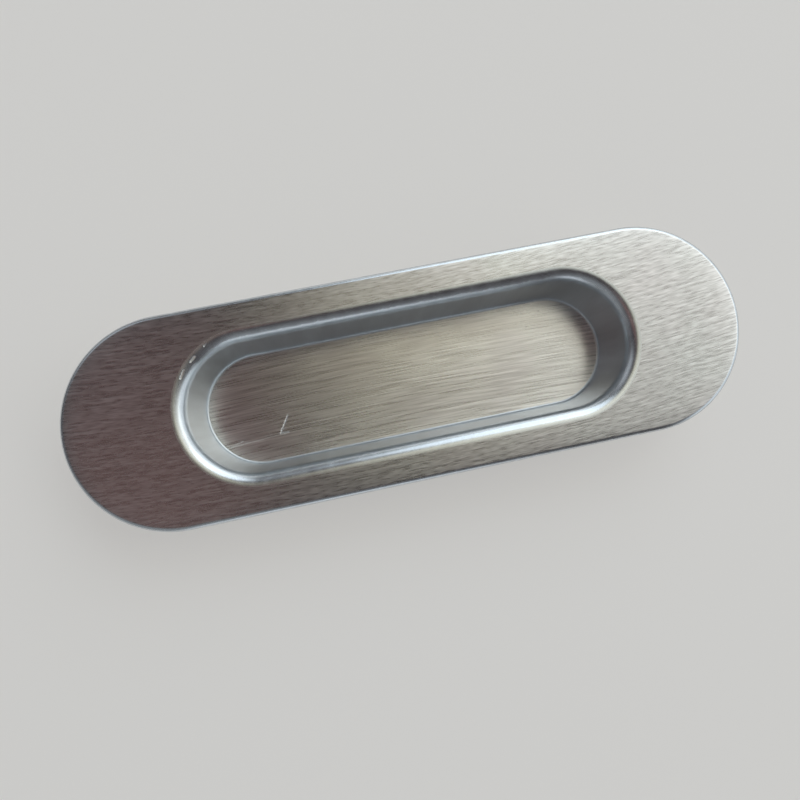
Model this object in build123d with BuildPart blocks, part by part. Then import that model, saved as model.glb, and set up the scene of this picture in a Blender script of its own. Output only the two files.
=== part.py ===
from build123d import *
import os
from math import cos, radians, tan

# Recessed pull handle, pressed from one sheet of stainless steel.
# X runs along the handle, Y across it, and +Z points out of the door towards the hand.
# The origin is the centre of the cup's flat underside. All sizes are in millimetres.

# The sheet. It keeps its thickness round every bend, so each bend is given by the
# radius inside it, and the radius outside it follows.
sheet_thickness = 1.0

# Flange, the flat round-ended face that covers the edge of the routed pocket
flange_length = 130.0
flange_width = 40.0

# Rim, where the edge of the flange is folded down on to the door. The fold is set
# hard, so it is sharp inside and its outside radius is the sheet's thickness.
rim_drop = 1.0

# Finger recess, measured on the side that the fingers touch
recess_depth = 13.0
recess_cap_spacing = 60.0
floor_width = 22.4
wall_draft = 5.5
lip_inside_radius = 1.5
floor_inside_radius = 0.5

# Stainless steel, for the weight that is printed at the end
steel_grams_per_cubic_mm = 0.0079

# Heights above the underside of the cup
floor_level = sheet_thickness
face_level = floor_level + recess_depth
flange_back_level = face_level - sheet_thickness
rim_level = flange_back_level - rim_drop

# The wall leans outwards by its draft, so the mouth is wider than the floor.
wall_slope = tan(radians(wall_draft))
mouth_width = floor_width + 2 * recess_depth * wall_slope

# The back of the wall lies one sheet thickness behind its front, square to the slope.
wall_run = sheet_thickness / cos(radians(wall_draft))
cup_width = mouth_width + 2 * (wall_run - sheet_thickness * wall_slope)


with BuildPart() as pressed_shell:
    # Flange and rim as one solid slab, with the bend of the rim rounded over
    with BuildSketch(Plane.XY.offset(rim_level)):
        SlotOverall(flange_length, flange_width)
    extrude(amount=face_level - rim_level)
    flange_face = pressed_shell.faces().sort_by(Axis.Z)[-1]
    fillet(flange_face.edges(), radius=sheet_thickness)

    # The slab is hollowed from behind, which leaves flange and rim one sheet thick
    with BuildSketch(Plane.XY.offset(rim_level)):
        SlotOverall(flange_length - 2 * sheet_thickness, flange_width - 2 * sheet_thickness)
    extrude(amount=rim_drop, mode=Mode.SUBTRACT)

    # Back of the cup, from the back of the flange down to the flat underside
    with BuildSketch(Plane.XY.offset(flange_back_level)):
        SlotOverall(recess_cap_spacing + cup_width, cup_width)
    extrude(amount=-flange_back_level, taper=wall_draft)
    underside = pressed_shell.faces().sort_by(Axis.Z)[0]
    fillet(underside.edges(), radius=floor_inside_radius + sheet_thickness)
    flange_back = pressed_shell.faces().filter_by(Plane.XY).sort_by(Axis.Z)[-2]
    cup_root = flange_back.inner_wires()[0]
    fillet(cup_root.edges(), radius=lip_inside_radius)

    # Front of the cup, the finger recess, with its lip rolled over into the flange
    with BuildSketch(Plane.XY.offset(face_level)):
        SlotOverall(recess_cap_spacing + mouth_width, mouth_width)
    extrude(amount=-recess_depth, taper=wall_draft, mode=Mode.SUBTRACT)
    recess_floor = pressed_shell.faces().filter_by(Plane.XY).sort_by(Axis.Z)[1]
    fillet(recess_floor.edges(), radius=floor_inside_radius)
    flange_face = pressed_shell.faces().filter_by(Plane.XY).sort_by(Axis.Z)[-1]
    mouth = flange_face.inner_wires()[0]
    fillet(mouth.edges(), radius=lip_inside_radius + sheet_thickness)

pressed_shell.part.label = "pressed_shell"
os.makedirs("parts", exist_ok=True)
export_step(pressed_shell.part, "parts/pressed_shell.step")

weight = pressed_shell.part.volume * steel_grams_per_cubic_mm
print("overall size", pressed_shell.part.bounding_box().size)
print("sheet metal", round(pressed_shell.part.volume), "cubic mm, which weighs", round(weight), "g")
print("cup behind the flange", round(recess_cap_spacing + cup_width, 1), "by", round(cup_width, 1))
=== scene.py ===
# %% [markdown]
# A recessed pull handle, pressed from one brushed steel sheet.
# This handle is a single skin of stainless steel. A press has drawn a finger recess into it, rolled
# the lip of that recess over and folded the outer edge down, so nothing is joined and nothing moves.
# The lesson builds the skin as one clean mesh, brushes it, wears it, and lights it as a studio would.
# First the measured frame is loaded. It tells how large the handle is and where it stands.

# %% Load the frame
from math import cos, pi, radians, sin, tan

import bpy
from mathutils import Matrix, Vector


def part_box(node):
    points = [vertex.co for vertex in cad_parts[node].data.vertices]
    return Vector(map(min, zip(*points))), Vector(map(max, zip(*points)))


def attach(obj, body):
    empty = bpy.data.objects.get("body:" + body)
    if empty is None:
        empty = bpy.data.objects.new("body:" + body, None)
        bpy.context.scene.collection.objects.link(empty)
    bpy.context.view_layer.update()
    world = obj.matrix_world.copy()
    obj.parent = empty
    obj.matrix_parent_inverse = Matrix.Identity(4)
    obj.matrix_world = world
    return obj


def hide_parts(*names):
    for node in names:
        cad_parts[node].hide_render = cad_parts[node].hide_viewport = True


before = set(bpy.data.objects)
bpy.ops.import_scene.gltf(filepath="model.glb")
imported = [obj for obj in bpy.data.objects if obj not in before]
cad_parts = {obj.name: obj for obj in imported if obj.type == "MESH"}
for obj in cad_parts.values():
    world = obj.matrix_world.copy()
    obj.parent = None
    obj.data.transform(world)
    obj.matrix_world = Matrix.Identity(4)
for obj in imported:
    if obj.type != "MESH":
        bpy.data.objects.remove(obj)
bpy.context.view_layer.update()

handle_low, handle_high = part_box("pressed_shell")
handle_size = handle_high - handle_low
print("the handle measures", [round(side * 1000, 2) for side in handle_size], "mm")

# %% [markdown]
# The sizes of the sheet.
# The outside of the handle comes from the frame. The sizes below describe how the sheet is bent
# between its outside and its floor. Each bend is given by its centre, and the front and the back of
# the sheet go round the same centre, one sheet thickness apart. That is what keeps a pressed part
# equally thick everywhere, and it is easy to get wrong when the two sides are drawn one by one.

# %% Sizes in metres
mm = 0.001
sheet = 1.0 * mm
face_level = handle_high.z
flange_back_level = face_level - sheet
floor_level = handle_low.z + sheet
flange_radius = handle_size.y / 2
flange_cap_x = handle_size.x / 2 - flange_radius

recess_cap_x = 30.0 * mm
floor_half_width = 11.2 * mm
wall_angle = 5.5
draft = radians(wall_angle)
lip_radius = 2.5 * mm
floor_bend_radius = 0.5 * mm
rim_radius = sheet
rim_drop = 1.0 * mm
rim_level = flange_back_level - rim_drop
cut_edge_rounding = 0.12 * mm


def bend_centre_reach(level, radius):
    """How far from the middle a bend's centre lies, so that its arc just touches the wall's front."""
    wall_reach = floor_half_width + (level - floor_level) * tan(draft)
    return wall_reach + radius / cos(draft)


lip_centre = (bend_centre_reach(face_level - lip_radius, lip_radius), face_level - lip_radius)
floor_centre_level = floor_level + floor_bend_radius
floor_centre = (bend_centre_reach(floor_centre_level, -floor_bend_radius), floor_centre_level)
print("the lip begins", round(lip_centre[0] / mm, 2), "mm from the middle line")

# %% [markdown]
# The section, one line round the sheet.
# Cut the handle across and the sheet shows as one thin closed line: the floor of the recess, the
# wall, the lip, the flange, the folded rim, and then back again behind all of these. Every other
# part of the handle is this line carried round a slot, a long shape with two round ends.
# Each station of the line has three numbers: how far along the handle its round end is centred, its
# reach from that centre, and its height. A finish number goes with it, for the materials later on.
# The line could be a list of points typed in by hand, but then no size could be changed. Here it is
# walked off in straight runs and bends, which follow from the sizes above.

# %% Helpers for the section
floor_finish, drawn_finish, flange_finish, back_finish = 0, 1, 2, 3
stations = []


def station(cap_x, reach, level, finish):
    """Adds one station to the section."""
    stations.append(((cap_x, reach, level), finish))


def even_values(first, last, steps):
    """Values in even steps from first to last, both included."""
    return [first + (last - first) * step / steps for step in range(steps + 1)]


def run(start, end, steps, finish):
    """Straight stations from start up to, and without, end."""
    for share in even_values(0.0, 1.0, steps)[:-1]:
        station(*[a + (b - a) * share for a, b in zip(start, end)], finish)


def on_bend(centre, radius, degrees):
    """The reach and the height of a spot on an arc of the section."""
    return centre[0] + radius * cos(radians(degrees)), centre[1] + radius * sin(radians(degrees))


def bend(cap_x, centre, radius, first, last, steps, finish):
    """Stations round an arc of the section, both ends included, with angles in degrees."""
    for degrees in even_values(first, last, steps):
        station(cap_x, *on_bend(centre, radius, degrees), finish)


# %% [markdown]
# Bends that start slowly.
# Real sheet never turns from flat to bent at a sharp line. Where the flange goes over into the lip
# and into the rim, the bend starts slowly, and the narrow flange between them ends up crowned by a
# few hundredths of a millimetre. Shiny metal shows this at once, because a plain arc begins with a
# hard line in the reflection. An eased bend is a plain arc with its first few degrees drawn out over
# a short length. Each ease is a pair: the angle up to which it acts, and that length.

# %% Helpers for eased bends
def ease_reach(tilt, ease):
    """How far along the flange from a plain arc the sheet lies, where it has this tilt."""
    ease_angle, ease_length = ease
    return ease_length * max(0.0, 1 - tilt / ease_angle) ** 2


def ease_drop(tilt, ease):
    """How far the sheet has sunk below a plain arc by the time it has this tilt."""
    ease_angle, ease_length = ease
    eased = min(tilt, ease_angle)
    return 2 * ease_length * (eased ** 2 / 2 - eased ** 3 / (3 * ease_angle)) / ease_angle


def eased_bend(cap_x, centre, radius, side, tilts, ease, finish):
    """Stations of a bend that leaves the flat of the flange slowly, with tilts in degrees from level."""
    for tilt in [radians(degrees) for degrees in tilts]:
        reach = centre[0] + side * (radius * sin(tilt) - ease_reach(tilt, ease))
        level = centre[1] + radius * cos(tilt) - ease_drop(tilt, ease)
        station(cap_x, reach, level, finish)


# %% [markdown]
# Along the front of the sheet.
# The walk starts in the middle of the recess floor and goes out to the rim. A station stands close
# beside each sharp bend. It keeps smooth shading from bleeding over the flat face, which matters on
# metal, where the eye reads the smallest dent in a reflection. The brushed finish of the flange runs
# on until the sheet has turned by a few degrees, and the drawn finish takes over there.

# %% Front of the recess
inward, outward = -1, 1
beside = 0.12 * mm
floor_steps, floor_bend_steps, wall_steps, lip_steps, lip_start_steps = 8, 8, 9, 28, 5
lip_brushed_tilt = 2.5
lip_ease = (radians(8.0), 0.35 * mm)

floor_edge = (recess_cap_x, floor_centre[0] - beside, floor_level)
run((recess_cap_x, 0.0, floor_level), floor_edge, floor_steps, floor_finish)
station(*floor_edge, floor_finish)
bend(recess_cap_x, floor_centre, floor_bend_radius, -90, -wall_angle, floor_bend_steps, drawn_finish)
wall_foot = (recess_cap_x, *on_bend(floor_centre, floor_bend_radius, -wall_angle))
wall_top_angle = 180.0 - wall_angle
wall_top_reach, wall_top_level = on_bend(lip_centre, lip_radius, wall_top_angle)
wall_top = (recess_cap_x, wall_top_reach, wall_top_level - ease_drop(pi / 2, lip_ease))
run(wall_foot, wall_top, wall_steps, drawn_finish)
lip_tilts = even_values(90.0 - wall_angle, lip_brushed_tilt, lip_steps)
eased_bend(recess_cap_x, lip_centre, lip_radius, inward, lip_tilts, lip_ease, drawn_finish)
lip_tilts = even_values(lip_brushed_tilt, 0.0, lip_start_steps)
eased_bend(recess_cap_x, lip_centre, lip_radius, inward, lip_tilts, lip_ease, flange_finish)

# %% Flange and rim
flange_steps, rim_start_steps, rim_steps, cut_edge_steps = 10, 8, 12, 3
rim_brushed_tilt = 3.5
rim_ease = (radians(rim_brushed_tilt), 3.0 * mm)
rim_centre_reach = flange_radius - rim_radius
rim_centre = (rim_centre_reach, flange_back_level)

lip_edge = (recess_cap_x, lip_centre[0] + lip_ease[1], face_level)
rim_edge = (flange_cap_x, rim_centre_reach - rim_ease[1], face_level)
run(lip_edge, rim_edge, flange_steps, flange_finish)
rim_tilts = even_values(0.0, rim_brushed_tilt, rim_start_steps)
eased_bend(flange_cap_x, rim_centre, rim_radius, outward, rim_tilts, rim_ease, flange_finish)
rim_tilts = even_values(rim_brushed_tilt, 90.0, rim_steps)
eased_bend(flange_cap_x, rim_centre, rim_radius, outward, rim_tilts, rim_ease, drawn_finish)
outer_corner = (flange_radius - cut_edge_rounding, rim_level + cut_edge_rounding)
inner_corner = (rim_centre_reach + cut_edge_rounding, rim_level + cut_edge_rounding)
bend(flange_cap_x, outer_corner, cut_edge_rounding, 0, -90, cut_edge_steps, back_finish)
bend(flange_cap_x, inner_corner, cut_edge_rounding, -90, -180, cut_edge_steps, back_finish)

# %% [markdown]
# Home along the back.
# The back goes round the same bend centres as the front, one sheet thickness away. The fold of the
# rim is sharp inside, so a station stands close beside it too.

# %% Back of the flange and of the cup
back_steps, back_lip_steps, underside_steps = 12, 10, 6
back_lip_radius = lip_radius - sheet
back_floor_radius = floor_bend_radius + sheet

station(flange_cap_x, rim_centre_reach, flange_back_level - beside, back_finish)
fold_corner = (flange_cap_x, rim_centre_reach, flange_back_level)
root_edge = (recess_cap_x, lip_centre[0], flange_back_level)
run(fold_corner, root_edge, back_steps, back_finish)
bend(recess_cap_x, lip_centre, back_lip_radius, 90, wall_top_angle, back_lip_steps, back_finish)
back_top = (recess_cap_x, *on_bend(lip_centre, back_lip_radius, wall_top_angle))
back_foot = (recess_cap_x, *on_bend(floor_centre, back_floor_radius, -wall_angle))
run(back_top, back_foot, wall_steps, back_finish)
bend(recess_cap_x, floor_centre, back_floor_radius, -wall_angle, -90, floor_bend_steps, back_finish)
underside_edge = (recess_cap_x, floor_centre[0] - beside, handle_low.z)
underside_middle = (recess_cap_x, 0.0, handle_low.z)
run(underside_edge, underside_middle, underside_steps, back_finish)
station(*underside_middle, back_finish)

# %% [markdown]
# Dropping the doubles.
# A run and the bend before it share a spot, and a doubled station would give faces without area.

# %% Keep one station on each spot
same_spot = 0.001 * mm


def without_doubles(points):
    """The stations in order, with one kept where two stand on the same spot."""
    kept = points[:1]
    for spot, finish in points[1:]:
        if (Vector(spot) - Vector(kept[-1][0])).length > same_spot:
            kept.append((spot, finish))
    return kept


stations = without_doubles(stations)
print("the section has", len(stations), "stations")

# %% [markdown]
# The section as an object.
# Geometry Nodes can read another object point by point, so the section becomes a small mesh of loose
# points. Its three numbers sit in the place of x, y and z, and its finish is kept as an attribute.
# This object is a drawing aid. It is deleted once the skin has been made.

# %% Make the section object
section_mesh = bpy.data.meshes.new("section")
section_mesh.from_pydata([spot for spot, finish in stations], [], [])
finish_attribute = section_mesh.attributes.new("finish", "INT", "POINT")
for index, (spot, finish) in enumerate(stations):
    finish_attribute.data[index].value = finish
section = bpy.data.objects.new("section", section_mesh)
bpy.context.scene.collection.objects.link(section)

# %% [markdown]
# Small helpers for node trees.
# Node trees written in code soon drown in bookkeeping. These helpers make a node and wire it in one
# line: a socket given as an input is linked, and anything else is set as that input's value.

# %% Helpers for nodes
def add(tree, kind, inputs=None, **settings):
    """A new node of this kind, with its settings made and its inputs linked or set."""
    made = tree.nodes.new(kind)
    for name, value in settings.items():
        setattr(made, name, value)
    for socket, value in (inputs or {}).items():
        if isinstance(value, bpy.types.NodeSocket):
            tree.links.new(value, made.inputs[socket])
        else:
            made.inputs[socket].default_value = value
    return made


def calc(tree, operation, *values, **settings):
    """A Math node. Its output socket comes back, ready to go into the next one."""
    return add(tree, "ShaderNodeMath", dict(enumerate(values)), operation=operation, **settings).outputs[0]


def vector_calc(tree, operation, *values, output="Vector"):
    """A Vector Math node. A dot product and a distance come out of its output Value."""
    return add(tree, "ShaderNodeVectorMath", dict(enumerate(values)), operation=operation).outputs[output]


def scaled(tree, vector, factor):
    """A vector times one number. With a factor near 1 it makes a colour lighter or darker."""
    return add(tree, "ShaderNodeVectorMath", {0: vector, "Scale": factor},
               operation="SCALE").outputs["Vector"]


# %% [markdown]
# The skin, made by one rule.
# The whole handle follows one rule: carry the section round a slot. A grid of points is the raw
# cloth. Its columns count the steps round the slot, and its rows count the stations of the section.
# The first quarter of the columns walks along the top straight, the next round the right-hand end,
# then back along the bottom and round the left-hand end. Each station uses its own slot, because the
# flange's round ends are centred further out than those of the recess.
# A lathe or a Screw modifier couldn't do this, and a bevelled curve would lose the true section.

# %% Plan the tree
skin_tree = bpy.data.node_groups.new("sheet_round_a_slot", "GeometryNodeTree")
skin_tree.is_modifier = True
skin_inputs = {}


def skin_input(name, socket_type):
    """Adds an input to the tree and notes its identifier, which the modifier asks for."""
    made = skin_tree.interface.new_socket(name, in_out="INPUT", socket_type=socket_type)
    skin_inputs[name] = made.identifier


skin_tree.interface.new_socket("Geometry", in_out="INPUT", socket_type="NodeSocketGeometry")
skin_input("Section", "NodeSocketObject")
skin_input("Straight Steps", "NodeSocketInt")
skin_input("Round Steps", "NodeSocketInt")
skin_input("Brushed Floor", "NodeSocketMaterial")
skin_input("Brushed Flange", "NodeSocketMaterial")
skin_input("Drawn", "NodeSocketMaterial")
skin_input("Mill", "NodeSocketMaterial")
skin_tree.interface.new_socket("Geometry", in_out="OUTPUT", socket_type="NodeSocketGeometry")
given = skin_tree.nodes.new("NodeGroupInput").outputs

# %% [markdown]
# From grid number to place on the sheet.
# A grid point knows only its number. Dividing it by the count of rows gives its column and its row.
# Four Map Range nodes then say how far the column has come along each of the four stretches. From
# that follow the side of the handle that the point is on and the way its section faces.

# %% Place each grid point
section_points = add(skin_tree, "GeometryNodeObjectInfo", {"Object": given["Section"]}).outputs["Geometry"]
rows = add(skin_tree, "GeometryNodeAttributeDomainSize", {"Geometry": section_points}).outputs["Point Count"]
straight_steps, round_steps = given["Straight Steps"], given["Round Steps"]
half_way = calc(skin_tree, "ADD", straight_steps, round_steps)
columns = calc(skin_tree, "MULTIPLY_ADD", half_way, 2.0, 1.0)
grid = add(skin_tree, "GeometryNodeMeshGrid", {"Vertices X": columns, "Vertices Y": rows}).outputs["Mesh"]
number = add(skin_tree, "GeometryNodeInputIndex").outputs[0]
column = add(skin_tree, "FunctionNodeIntegerMath", {0: number, 1: rows}, operation="DIVIDE_FLOOR").outputs[0]
row = add(skin_tree, "FunctionNodeIntegerMath", {0: number, 1: rows}, operation="MODULO").outputs[0]


def progress(first_column, steps):
    """How much of one stretch lies behind this column, from 0 to 1."""
    last_column = calc(skin_tree, "ADD", first_column, steps)
    limits = {"Value": column, "From Min": first_column, "From Max": last_column}
    return add(skin_tree, "ShaderNodeMapRange", limits, clamp=True).outputs["Result"]


along_top = progress(0.0, straight_steps)
round_right = progress(straight_steps, round_steps)
along_bottom = progress(half_way, straight_steps)
round_left = progress(calc(skin_tree, "ADD", half_way, straight_steps), round_steps)

side = calc(skin_tree, "MULTIPLY_ADD", calc(skin_tree, "SUBTRACT", along_top, along_bottom), 2.0, -1.0)
turned = calc(skin_tree, "ADD", round_right, round_left)
heading = calc(skin_tree, "MULTIPLY_ADD", turned, -pi, pi / 2)

position = add(skin_tree, "GeometryNodeInputPosition").outputs[0]
sampled = add(skin_tree, "GeometryNodeSampleIndex",
              {"Geometry": section_points, "Value": position, "Index": row},
              data_type="FLOAT_VECTOR", domain="POINT").outputs["Value"]
cap_x, reach, level = add(skin_tree, "ShaderNodeSeparateXYZ", {"Vector": sampled}).outputs
x = calc(skin_tree, "MULTIPLY_ADD", reach, calc(skin_tree, "COSINE", heading),
         calc(skin_tree, "MULTIPLY", cap_x, side))
y = calc(skin_tree, "MULTIPLY", reach, calc(skin_tree, "SINE", heading))
place = add(skin_tree, "ShaderNodeCombineXYZ", {"X": x, "Y": y, "Z": level}).outputs[0]
numbered = add(skin_tree, "GeometryNodeStoreNamedAttribute", {"Geometry": grid, "Name": "row", "Value": row},
               data_type="FLOAT", domain="POINT").outputs[0]
placed = add(skin_tree, "GeometryNodeSetPosition", {"Geometry": numbered, "Position": place}).outputs[0]
merge_distance = 0.0005 * mm
joined = add(skin_tree, "GeometryNodeMergeByDistance",
             {"Geometry": placed, "Distance": merge_distance}).outputs[0]
smooth = add(skin_tree, "GeometryNodeSetShadeSmooth", {"Geometry": joined}).outputs[0]

# %% [markdown]
# Laying the brush lines.
# The maker brushed the flat blank along its length, and the press then pulled the lines into very
# shallow curves. A UV map holds that, in millimetres: U runs along the handle and V across it, so a
# line of the brush is a line of equal V. The flange and the floor curve differently. The anisotropic
# shine and the grain both follow this one map, so they can't disagree.

# %% Store the grain map
flange_slope, flange_curve = 0.0157, 0.76
floor_slope, floor_curve = -0.005, -0.5
millimetres_in_a_metre = 1000.0

x_now, y_now, z_now = add(skin_tree, "ShaderNodeSeparateXYZ", {"Vector": position}).outputs
on_flange = calc(skin_tree, "GREATER_THAN", z_now, (floor_level + face_level) / 2)


def either(low_value, high_value):
    """low_value in the recess and high_value on the flange."""
    return calc(skin_tree, "MULTIPLY_ADD", on_flange, high_value - low_value, low_value)


curve = either(floor_curve, flange_curve)
slope = either(floor_slope, flange_slope)
bow = calc(skin_tree, "MULTIPLY_ADD", x_now, curve, slope)
line = calc(skin_tree, "SUBTRACT", y_now, calc(skin_tree, "MULTIPLY", bow, x_now))
grain = add(skin_tree, "ShaderNodeCombineXYZ", {
    "X": calc(skin_tree, "MULTIPLY", x_now, millimetres_in_a_metre),
    "Y": calc(skin_tree, "MULTIPLY", line, millimetres_in_a_metre)}).outputs[0]
mapped = add(skin_tree, "GeometryNodeStoreNamedAttribute",
             {"Geometry": smooth, "Name": "grain", "Value": grain},
             data_type="FLOAT2", domain="CORNER").outputs[0]

# %% [markdown]
# Giving each stretch its finish.
# The row number was stored on the points, so a face sees the mean of its corners' rows. Rounded
# down, that is the station that the face starts from, and the section knows its finish.

# %% Set the materials and close the tree
def stored(name, data_type):
    """The value that an attribute of this name holds."""
    return add(skin_tree, "GeometryNodeInputNamedAttribute", {"Name": name}, data_type=data_type).outputs[0]


station_here = add(skin_tree, "FunctionNodeFloatToInt", {0: stored("row", "FLOAT")},
                   rounding_mode="FLOOR").outputs[0]
finish_here = add(skin_tree, "GeometryNodeSampleIndex",
                  {"Geometry": section_points, "Value": stored("finish", "INT"), "Index": station_here},
                  data_type="INT", domain="POINT").outputs["Value"]


def has_finish(finish):
    """True on the faces of one finish."""
    return add(skin_tree, "FunctionNodeCompare", {"A": finish_here, "B": finish},
               data_type="INT", operation="EQUAL").outputs[0]


def finish_with(geometry, finish, material):
    """Gives the faces of one finish their material, and hands the sheet on."""
    return add(skin_tree, "GeometryNodeSetMaterial",
               {"Geometry": geometry, "Selection": has_finish(finish), "Material": material}).outputs[0]


realized = add(skin_tree, "GeometryNodeRealizeInstances", {"Geometry": mapped}).outputs[0]
finished = finish_with(realized, back_finish, given["Mill"])
finished = finish_with(finished, drawn_finish, given["Drawn"])
finished = finish_with(finished, floor_finish, given["Brushed Floor"])
finished = finish_with(finished, flange_finish, given["Brushed Flange"])
add(skin_tree, "NodeGroupOutput", {"Geometry": finished})
print("the tree has", len(skin_tree.nodes), "nodes")

# %% [markdown]
# Steel, the shared ground of the finishes.
# Every finish here is the same metal, so they share one way of starting. What differs is how the
# surface was worked. The Principled shader's metallic mode gives steel its coloured reflection, and
# everything else is roughness and relief. The colour is given with each finish. The drawn finish is
# tinted cool blue, which is a painted reflection of the bluish light round it, and the recess floor
# is lighter than the flange, which is painted light.

# %% Start a steel material
brushed_colour = (0.64, 0.645, 0.635)
# Lighter than the flange's steel: painted light on the recess floor, in place of light that the walls keep
# from it
floor_colour_with_painted_light = (0.82, 0.815, 0.785)
handled_colour = (0.66, 0.60, 0.60)
# Tinted cool blue: a painted reflection of the bluish light that the lip and walls show
drawn_colour_with_painted_cool_reflection = (0.66, 0.695, 0.72)
# Lighter than the steel: partly bared metal and partly a painted glint, for the scratches and flecks
bared_metal_and_glint_colour = (0.95, 0.95, 0.93)
mill_colour = (0.64, 0.63, 0.61)


def steel_material(name):
    """A plain metal to start from, with its tree, its shader and the place on the part."""
    material = bpy.data.materials.new(name)
    material.use_nodes = True
    tree = material.node_tree
    shader = tree.nodes["Principled BSDF"]
    shader.inputs["Metallic"].default_value = 1.0
    place_on_part = add(tree, "ShaderNodeTexCoord").outputs["Object"]
    return material, tree, shader, place_on_part


def noise(tree, vector, scale, detail=3.0, roughness=0.5):
    """A noise that swings about 0.5, with its scale in cycles per unit of the vector."""
    values = {"Vector": vector, "Scale": scale, "Detail": detail, "Roughness": roughness}
    return add(tree, "ShaderNodeTexNoise", values, noise_dimensions="3D").outputs["Fac"]


def spread(tree, value, low, high, from_low=0.3, from_high=0.7):
    """A value that swings about 0.5, stretched to run from low to high."""
    limits = {"Value": value, "From Min": from_low, "From Max": from_high, "To Min": low, "To Max": high}
    return add(tree, "ShaderNodeMapRange", limits, clamp=True).outputs["Result"]


def blend_colours(tree, share, first_colour, second_colour):
    """first_colour where share is 0 and second_colour where it is 1. Either may be a socket."""
    inputs = {"Factor": share, 6: first_colour, 7: second_colour}
    return add(tree, "ShaderNodeMix", inputs, data_type="RGBA").outputs[2]


def add_relief(tree, shader, height, strength=1.0, distance=1.0):
    """Tips the surface as if it had this height, which counts in metres as long as distance is 1."""
    values = {"Strength": strength, "Distance": distance, "Height": height}
    relief = add(tree, "ShaderNodeBump", values).outputs[0]
    tree.links.new(relief, shader.inputs["Normal"])


# %% [markdown]
# The brushed finish.
# An abrasive belt leaves thousands of fine scratches, a quarter to a half of a millimetre apart. On
# the flange most are a few millimetres long and a little wavy, and on the floor of the recess they
# run on for a centimetre or more. Noises stretched along the brush lines stand for long strokes,
# short strokes and hairlines, and a coarse one adds a slow change of shade. Together the strokes tip
# the surface a few degrees, shade it a little and change its roughness.
# The shine itself is anisotropic: light spreads widely across the scratches and little along them.
# The tangent follows the grain map, and a quarter turn sets the wide side across the brush.

# %% Helpers for the strokes
def stretched_noise(tree, grain_vector, along, across, detail, roughness=0.55):
    """A noise with its two scales in cycles per millimetre, along the brush lines and across them."""
    stretched = vector_calc(tree, "MULTIPLY", grain_vector, (along, across, 1.0))
    return noise(tree, stretched, 1.0, detail, roughness)


def wavy(tree, grain_vector, sway):
    """The grain map with its lines swaying to either side by up to half of sway, in millimetres."""
    slow = stretched_noise(tree, grain_vector, along=0.22, across=0.12, detail=1.0)
    sideways = calc(tree, "MULTIPLY_ADD", slow, sway, -sway / 2)
    shift = add(tree, "ShaderNodeCombineXYZ", {"Y": sideways}).outputs[0]
    return vector_calc(tree, "ADD", grain_vector, shift)


# %% [markdown]
# Scratches and specks.
# Use has left a few marks. The floor has a bright hooked scratch, two faint ones and two dark specks
# of dirt, and a knock has left bright flecks along the upper left of the lip. The scratches and
# flecks are real, and their lighter colour is partly bared metal and partly a painted glint, where
# their facets catch the light. All are made of short straight strokes, and the mask of a stroke is
# the distance to a line from one point to another. The edge of a scratch is ragged, and that is a
# noise added to the distance. The noise counts in widths of the mark, and so do the two limits
# between which the mark fades out.

# %% Mask a mark
ragged_scale, ragged_size = 2400.0, 0.9
whole_within, gone_beyond = 0.55, 1.15
faint_share = 0.35


def mark(tree, place_on_part, start, end, width):
    """1 on the line from start to end and 0 away from it, with all three sizes in millimetres."""
    first, last = Vector((*start, 0.0)) * mm, Vector((*end, 0.0)) * mm
    stroke = last - first
    flat = vector_calc(tree, "MULTIPLY", place_on_part, (1.0, 1.0, 0.0))
    from_first = vector_calc(tree, "SUBTRACT", flat, first)
    dot = vector_calc(tree, "DOT_PRODUCT", from_first, stroke, output="Value")
    share = calc(tree, "MULTIPLY", dot, 1.0 / stroke.length_squared, use_clamp=True)
    distance = vector_calc(tree, "DISTANCE", from_first, scaled(tree, stroke, share), output="Value")
    teeth = noise(tree, place_on_part, ragged_scale, detail=2.0)
    ragged = calc(tree, "MULTIPLY_ADD", teeth, ragged_size * width * mm, distance)
    return spread(tree, ragged, 1.0, 0.0, whole_within * width * mm, gone_beyond * width * mm)


def strongest(tree, *masks):
    """The largest of several masks at each spot."""
    so_far = masks[0]
    for mask in masks[1:]:
        so_far = calc(tree, "MAXIMUM", so_far, mask)
    return so_far


def mark_floor(tree, place_on_part):
    """The masks of the bright scratches and of the dark specks on the floor of the recess."""
    bright = mark(tree, place_on_part, (-25.33, -2.35), (-27.42, -5.66), 0.30)
    hook = mark(tree, place_on_part, (-27.42, -5.66), (-25.9, -5.75), 0.30)
    long_scratch = mark(tree, place_on_part, (-38.0, -6.6), (-27.5, -5.9), 0.18)
    short_scratch = mark(tree, place_on_part, (-36.6, -6.2), (-35.2, -5.8), 0.18)
    faint = calc(tree, "MULTIPLY", strongest(tree, long_scratch, short_scratch), faint_share)
    upper_speck = mark(tree, place_on_part, (30.0, 8.7), (30.2, 8.7), 0.22)
    lower_speck = mark(tree, place_on_part, (26.8, 5.9), (27.0, 5.9), 0.18)
    return strongest(tree, bright, hook, faint), strongest(tree, upper_speck, lower_speck)


def mark_lip(tree, place_on_part):
    """The mask of the flecks along the upper left of the lip, where something hard has knocked it."""
    lower = mark(tree, place_on_part, (-41.8, 7.6), (-41.0, 8.9), 0.34)
    upper = mark(tree, place_on_part, (-39.4, 10.3), (-38.6, 11.0), 0.38)
    last = mark(tree, place_on_part, (-36.5, 12.6), (-36.2, 12.8), 0.22)
    return strongest(tree, lower, upper, last)


# %% Make the brushed steel
long_across, short_across, hair_across, coarse_across = 1.75, 2.3, 4.4, 0.6
long_weight, short_weight, hair_weight = 0.36, 0.34, 0.30
hair_against_short = 1.4
crisp_range = (0.37, 0.63)
stroke_shades, coarse_shades = (0.72, 1.18), (0.98, 1.02)
stroke_roughness, cloud_roughness = (0.24, 0.33), (-0.015, 0.015)
cloud_scale, most_handled = 70.0, 0.4
stroke_depth, scratch_depth = 0.010 * mm, 0.06 * mm
scratch_roughness, speck_darkening = 0.25, 0.6
sideways_spread, quarter_turn = 0.80, 0.25


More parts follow.
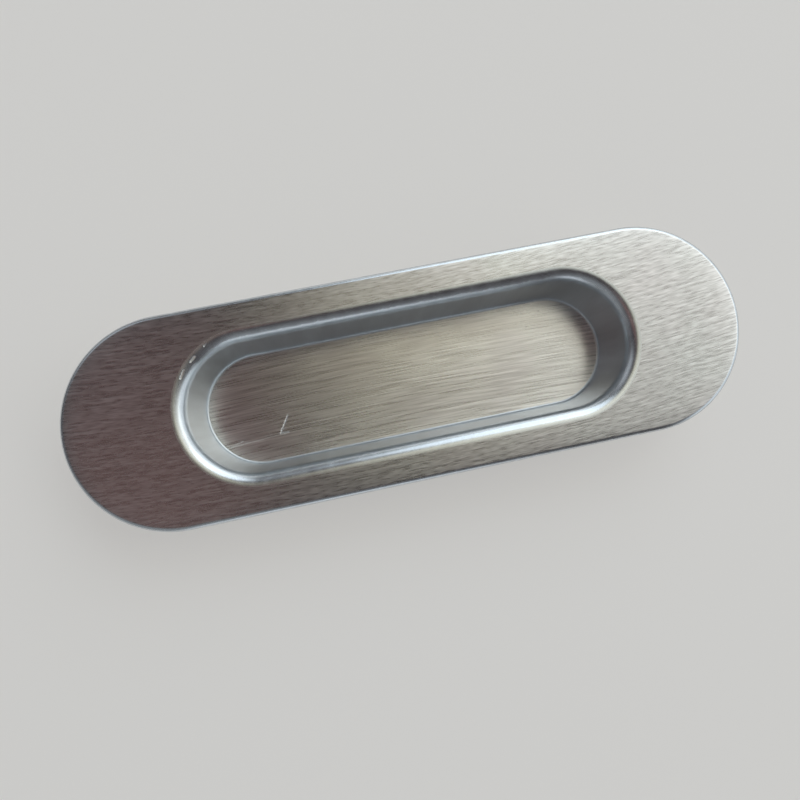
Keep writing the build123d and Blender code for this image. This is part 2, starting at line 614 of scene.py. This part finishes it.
def make_brushed(name, unhandled_or_painted_light_colour, long_along, short_along, sway, marked):
    """Brushed steel, with the scratches and specks of the recess floor where marked is true.

    Its long and its short strokes have so many cycles in each millimetre along the brush.
    """
    material, tree, shader, place_on_part = steel_material(name)
    grain_vector = add(tree, "ShaderNodeUVMap", uv_map="grain").outputs[0]
    lines = wavy(tree, grain_vector, sway)
    long_strokes = stretched_noise(tree, lines, long_along, long_across, detail=1.0)
    short_strokes = stretched_noise(tree, lines, short_along, short_across, detail=1.0)
    hair_strokes = stretched_noise(tree, lines, short_along * hair_against_short, hair_across, detail=0.0)
    coarse = stretched_noise(tree, lines, long_along, coarse_across, detail=1.0)
    cloud = noise(tree, place_on_part, cloud_scale, detail=2.0)
    strokes = calc(tree, "MULTIPLY", short_strokes, short_weight)
    strokes = calc(tree, "MULTIPLY_ADD", long_strokes, long_weight, strokes)
    strokes = calc(tree, "MULTIPLY_ADD", hair_strokes, hair_weight, strokes)
    crisp = spread(tree, strokes, 0.0, 1.0, *crisp_range)
    stroke_shade = spread(tree, crisp, *stroke_shades, 0.0, 1.0)
    shade = calc(tree, "MULTIPLY", stroke_shade, spread(tree, coarse, *coarse_shades))
    handled = spread(tree, cloud, 0.0, most_handled)
    colour = blend_colours(tree, handled, (*unhandled_or_painted_light_colour, 1.0), (*handled_colour, 1.0))
    rough = spread(tree, strokes, *stroke_roughness)
    rough = calc(tree, "ADD", rough, spread(tree, cloud, *cloud_roughness))
    height = calc(tree, "MULTIPLY", crisp, stroke_depth)
    if marked:
        scratched, specks = mark_floor(tree, place_on_part)
        shade = calc(tree, "MULTIPLY", shade, calc(tree, "MULTIPLY_ADD", specks, -speck_darkening, 1.0))
        # The scratches get a lighter colour, partly bared metal and partly a painted glint
        colour = blend_colours(tree, scratched, colour, (*bared_metal_and_glint_colour, 1.0))
        rough = calc(tree, "MULTIPLY_ADD", scratched, scratch_roughness, rough)
        height = calc(tree, "MULTIPLY_ADD", scratched, -scratch_depth, height)
    tree.links.new(scaled(tree, colour, shade), shader.inputs["Base Color"])
    tree.links.new(rough, shader.inputs["Roughness"])
    add_relief(tree, shader, height)
    direction = add(tree, "ShaderNodeTangent", direction_type="UV_MAP", uv_map="grain").outputs[0]
    tree.links.new(direction, shader.inputs["Tangent"])
    shader.inputs["Anisotropic"].default_value = sideways_spread
    shader.inputs["Anisotropic Rotation"].default_value = quarter_turn
    print(name, "has", len(tree.nodes), "nodes")
    return material


brushed_flange_steel = make_brushed("brushed_flange_steel", brushed_colour,
                                    long_along=0.08, short_along=0.38, sway=0.08, marked=False)
# The floor's lighter colour is painted light
brushed_floor_steel = make_brushed("brushed_floor_steel", floor_colour_with_painted_light,
                                   long_along=0.02, short_along=0.10, sway=0.05, marked=True)

# %% [markdown]
# The drawn finish.
# Where the sheet slid over the press tool, at the lip, the wall and the rim, the brush lines were
# wiped out and a smooth satin is left, with soft streaks down the wall and a fine grit. Its cool blue
# tint is a painted reflection of the bluish light round it. The lip was rubbed hardest and is the
# glossiest, and the wall below it is duller.

# %% Make the drawn steel
streak_scale, streak_squeeze, grit_scale = 480.0, 0.12, 5200.0
streak_shades, grit_shades = (0.93, 1.05), (0.96, 1.03)
streak_roughness, fleck_roughness, dull_wall_roughness = (0.22, 0.27), 0.2, 0.16
glossy_depth, dull_depth = 0.4 * mm, 2.0 * mm
grit_depth = 0.002 * mm


def make_drawn():
    """Satin steel with the flecks of the lip. It dulls between two depths below the face."""
    material, tree, shader, place_on_part = steel_material("drawn_satin_steel")
    drawn_out = vector_calc(tree, "MULTIPLY", place_on_part, (1.0, 1.0, streak_squeeze))
    streaks = noise(tree, drawn_out, streak_scale, detail=3.0)
    grit = noise(tree, place_on_part, grit_scale, detail=2.0)
    shade = spread(tree, streaks, *streak_shades)
    shade = calc(tree, "MULTIPLY", shade, spread(tree, grit, *grit_shades))
    flecks = mark_lip(tree, place_on_part)
    # The drawn colour's cool tint is a painted reflection, and the flecks' lighter colour is partly a
    # painted glint
    colour = blend_colours(tree, flecks, (*drawn_colour_with_painted_cool_reflection, 1.0), (*bared_metal_and_glint_colour, 1.0))
    tree.links.new(scaled(tree, colour, shade), shader.inputs["Base Color"])
    level = add(tree, "ShaderNodeSeparateXYZ", {"Vector": place_on_part}).outputs["Z"]
    dull_level, glossy_level = face_level - dull_depth, face_level - glossy_depth
    down_wall = spread(tree, level, dull_wall_roughness, 0.0, dull_level, glossy_level)
    rough = calc(tree, "ADD", spread(tree, streaks, *streak_roughness), down_wall)
    rough = calc(tree, "MULTIPLY_ADD", flecks, fleck_roughness, rough)
    tree.links.new(rough, shader.inputs["Roughness"])
    grit_height = calc(tree, "MULTIPLY", grit, grit_depth)
    add_relief(tree, shader, calc(tree, "MULTIPLY_ADD", flecks, -scratch_depth, grit_height))
    print("the drawn steel has", len(tree.nodes), "nodes")
    return material


drawn_steel = make_drawn()

# %% [markdown]
# The mill finish behind.
# Nobody brushes the side that faces the pocket. It keeps the dull grey skin of rolled sheet, with
# the pale smears and the fine pitting that the rolls and the press oil leave.

# %% Make the mill steel
smear_scale, pitting_scale = 55.0, 2600.0
smear_shades, pitting_shades = (0.80, 0.98), (0.95, 1.03)
smear_roughness = (0.42, 0.58)
pit_strength, pit_depth = 0.25, 0.03 * mm


def make_mill():
    """Dull rolled steel, smeared and pitted."""
    material, tree, shader, place_on_part = steel_material("mill_finish_steel")
    smear = noise(tree, place_on_part, smear_scale, detail=5.0, roughness=0.6)
    pitting = noise(tree, place_on_part, pitting_scale, detail=3.0, roughness=0.6)
    shade = spread(tree, smear, *smear_shades)
    shade = calc(tree, "MULTIPLY", shade, spread(tree, pitting, *pitting_shades))
    tree.links.new(scaled(tree, mill_colour, shade), shader.inputs["Base Color"])
    tree.links.new(spread(tree, smear, *smear_roughness), shader.inputs["Roughness"])
    add_relief(tree, shader, pitting, pit_strength, pit_depth)
    print("the mill steel has", len(tree.nodes), "nodes")
    return material


mill_steel = make_mill()

# %% [markdown]
# Pressing the sheet.
# The modifier's inputs are set by their identifiers before the object is looked at for the first
# time. new_from_object then gives the result as a plain mesh, and the modifier and the section go.
# A closed skin has a volume, and its sign tells whether the faces look outwards.

# %% Run the tree
straight_count, round_count = 60, 240
shell = bpy.data.objects.new("pressed_steel_sheet", bpy.data.meshes.new("start"))
bpy.context.scene.collection.objects.link(shell)
press = shell.modifiers.new("press", "NODES")
press.node_group = skin_tree
press_settings = {
    "Section": section,
    "Straight Steps": straight_count,
    "Round Steps": round_count,
    "Brushed Floor": brushed_floor_steel,
    "Brushed Flange": brushed_flange_steel,
    "Drawn": drawn_steel,
    "Mill": mill_steel,
}
for name, value in press_settings.items():
    press[skin_inputs[name]] = value

bpy.context.view_layer.update()
evaluated = shell.evaluated_get(bpy.context.evaluated_depsgraph_get())
sheet_mesh = bpy.data.meshes.new_from_object(evaluated)
shell.modifiers.remove(press)
shell.data = sheet_mesh
sheet_mesh.name = "pressed_steel_sheet"


def enclosed_volume(mesh):
    """The volume inside a closed mesh, which is a sixth of the sum of its triangles' triple products."""
    mesh.calc_loop_triangles()
    total = 0.0
    for triangle in mesh.loop_triangles:
        a, b, c = [mesh.vertices[corner].co for corner in triangle.vertices]
        total += a.dot(b.cross(c))
    return total / 6


if enclosed_volume(sheet_mesh) < 0:
    sheet_mesh.flip_normals()
bpy.data.objects.remove(section)
steel_volume = enclosed_volume(sheet_mesh) / mm ** 3
print("triangles", len(sheet_mesh.loop_triangles), "steel", round(steel_volume), "mm3")

# %% [markdown]
# Fitting it to the frame.
# The finished sheet stands for the plain solid, rides on the only body and takes its finish.

# %% Fit the sheet
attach(shell, "root")
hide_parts("pressed_shell")

# %% [markdown]
# The table.
# The handle lies on a wide pale table. The table is lit like everything else, so it keeps the
# handle's shadow. For rays from the camera, and for those that the metal mirrors, a little plain
# light is mixed in, which lifts the table to a pale grey without putting more light on the handle.

# %% Make the table
table_colour = (0.80, 0.79, 0.77, 1.0)
plain_light_share = 0.5
table_reach = 3.0


def seen_directly_or_in_metal(tree):
    """1 for rays from the camera, from glossy metal and through glass, and 0 for the rest."""
    path = add(tree, "ShaderNodeLightPath").outputs
    shiny = calc(tree, "MAXIMUM", path["Is Glossy Ray"], path["Is Transmission Ray"])
    return calc(tree, "MAXIMUM", path["Is Camera Ray"], shiny)


def make_table():
    """The table's material, matt with a share of plain light."""
    material = bpy.data.materials.new("pale_table")
    material.use_nodes = True
    tree = material.node_tree
    tree.nodes.clear()
    matt = add(tree, "ShaderNodeBsdfDiffuse", {"Color": table_colour}).outputs[0]
    glow = add(tree, "ShaderNodeEmission", {"Color": table_colour, "Strength": 1.0}).outputs[0]
    share = calc(tree, "MULTIPLY", seen_directly_or_in_metal(tree), plain_light_share)
    mixed = add(tree, "ShaderNodeMixShader", {0: share, 1: matt, 2: glow}).outputs[0]
    add(tree, "ShaderNodeOutputMaterial", {"Surface": mixed})
    return material


table_corners = [(-table_reach, -table_reach, 0), (table_reach, -table_reach, 0),
                 (table_reach, table_reach, 0), (-table_reach, table_reach, 0)]
table_mesh = bpy.data.meshes.new("table")
table_mesh.from_pydata(table_corners, [], [(0, 1, 2, 3)])
table_mesh.materials.append(make_table())
table = bpy.data.objects.new("table", table_mesh)
bpy.context.scene.collection.objects.link(table)

# %% [markdown]
# The light tent.
# Bright metal shows its surroundings more than itself, so what stands round it matters more than any
# lamp. The light of the photograph is dim and reddish from the left, pale from the right and
# brightest from behind. A studio gets there with a light tent: a shell of cloth round the object,
# lit through panels. Here the tent is a large sphere that glows by a rule of direction, and each
# panel is a round patch with a soft edge, placed by two angles: how far it leans from straight up,
# and which way. The camera looks through the tent.

# %% Helpers for the tent
def facing_toward(tilt, around):
    """The direction that leans tilt degrees from straight up, around degrees from +X to +Y."""
    lean, compass = radians(tilt), radians(around)
    return Vector((sin(lean) * cos(compass), sin(lean) * sin(compass), cos(lean)))


def add_panel(tree, looking, glow, tilt, around, core, fade, colour):
    """The glow so far, plus a panel that is even within core degrees and then fades to nothing."""
    toward = facing_toward(tilt, around)
    closeness = vector_calc(tree, "DOT_PRODUCT", looking, toward, output="Value")
    angle = calc(tree, "ARCCOSINE", closeness)
    limits = {"Value": angle, "From Min": radians(core + fade), "From Max": radians(core)}
    share = add(tree, "ShaderNodeMapRange", limits, interpolation_type="SMOOTHSTEP").outputs["Result"]
    return vector_calc(tree, "MULTIPLY_ADD", share, colour, glow)


# %% Place the panels
dim_cloth = (0.057, 0.049, 0.052)

# Each panel's lean from straight up, its direction round from +X, the reach of its even middle, the
# width of its fade, all in degrees, and the glow that it adds
panels = [
    # A large bright one behind, a wide pale side to the right, a soft one between them and a low glow
    (52, 62, 20, 4, (1.32, 1.47, 1.58)),
    (91, -1, 45, 12, (0.77, 0.84, 0.88)),
    (40, 20, 4, 34, (1.07, 1.08, 1.00)),
    (100, 68, 1, 48, (1.6, 1.72, 1.74)),
    # A warm one overhead, and a dim reddish one to the left
    (16, 60, 7, 13, (0.66, 0.63, 0.49)),
    (20, 189, 9, 6, (0.160, 0.072, 0.062)),
    # Two dim cards, behind on the left and off the left end, so that no side of the metal turns black
    (58, 128, 6, 26, (0.42, 0.45, 0.48)),
    (76, 184, 10, 32, (0.08, 0.085, 0.09)),
    # The dim front, with a paler stretch low down
    (77, 239, 18, 50, (0.22, 0.24, 0.25)),
    (86, 268, 10, 14, (0.58, 0.62, 0.67)),
]
print("the tent has", len(panels), "panels")

# %% Make the tent
tent_radius = 2.5
tent_segments, tent_rings = 64, 32


def make_tent_cloth():
    """The tent's material, which glows with the sum of its panels."""
    material = bpy.data.materials.new("tent_cloth")
    material.use_nodes = True
    tree = material.node_tree
    tree.nodes.clear()
    place_on_tent = add(tree, "ShaderNodeTexCoord").outputs["Object"]
    looking = vector_calc(tree, "NORMALIZE", place_on_tent)
    glow = dim_cloth
    for tilt, around, core, fade, colour in panels:
        glow = add_panel(tree, looking, glow, tilt, around, core, fade, colour)
    cloth = add(tree, "ShaderNodeEmission", {"Color": glow, "Strength": 1.0}).outputs[0]
    add(tree, "ShaderNodeOutputMaterial", {"Surface": cloth})
    material.cycles.emission_sampling = "NONE"
    return material


bpy.ops.mesh.primitive_uv_sphere_add(segments=tent_segments, ring_count=tent_rings, radius=tent_radius)
tent = bpy.context.object
tent.name = "light_tent"
tent.data.materials.append(make_tent_cloth())
tent.visible_camera = False
tent.visible_shadow = False
print("the tent is", round(2 * tent_radius, 1), "m across")

# %% [markdown]
# The surround.
# Outside the tent the world is plain and pale. Only the camera and shiny things see it, so it gives
# the picture its background and puts no light of its own on the handle.

# %% Make the surround
surround_colour = (0.86, 0.86, 0.85, 1.0)

surround = bpy.data.worlds.new("pale_surround")
surround.use_nodes = True
bpy.context.scene.world = surround
surround_tree = surround.node_tree
background = surround_tree.nodes["Background"]
background.inputs["Color"].default_value = surround_colour
surround_tree.links.new(seen_directly_or_in_metal(surround_tree), background.inputs["Strength"])

# %% [markdown]
# The camera.
# The photograph was taken from close above, a little left of the middle and rolled to one side, so
# that the handle climbs to the right. The place, the aim and the roll were fitted to the outline of
# the flange and to the edge of the recess floor.

# %% Make the camera
camera_place = Vector((-11.448, -8.163, 134.054)) * mm
camera_target = Vector((-3.142, -4.312, 14.0)) * mm
camera_roll = 11.472
camera_data = bpy.data.cameras.new("camera")
camera_data.sensor_width = 36.0
camera_data.lens = 29.055
camera_data.clip_start = 0.01
camera_data.clip_end = 20.0
camera = bpy.data.objects.new("camera", camera_data)
bpy.context.scene.collection.objects.link(camera)

backward = (camera_place - camera_target).normalized()
level_right = Vector((1, 0, 0))
level_right = (level_right - level_right.dot(backward) * backward).normalized()
level_up = backward.cross(level_right)
turn = radians(camera_roll)
right = level_right * cos(turn) - level_up * sin(turn)
up = backward.cross(right)
facing = Matrix((right, up, backward)).transposed().to_4x4()
camera.matrix_world = Matrix.Translation(camera_place) @ facing
bpy.context.scene.camera = camera
bpy.context.scene.view_settings.view_transform = "Standard"
print("the camera is", round((camera_place - camera_target).length / mm), "mm from the face")
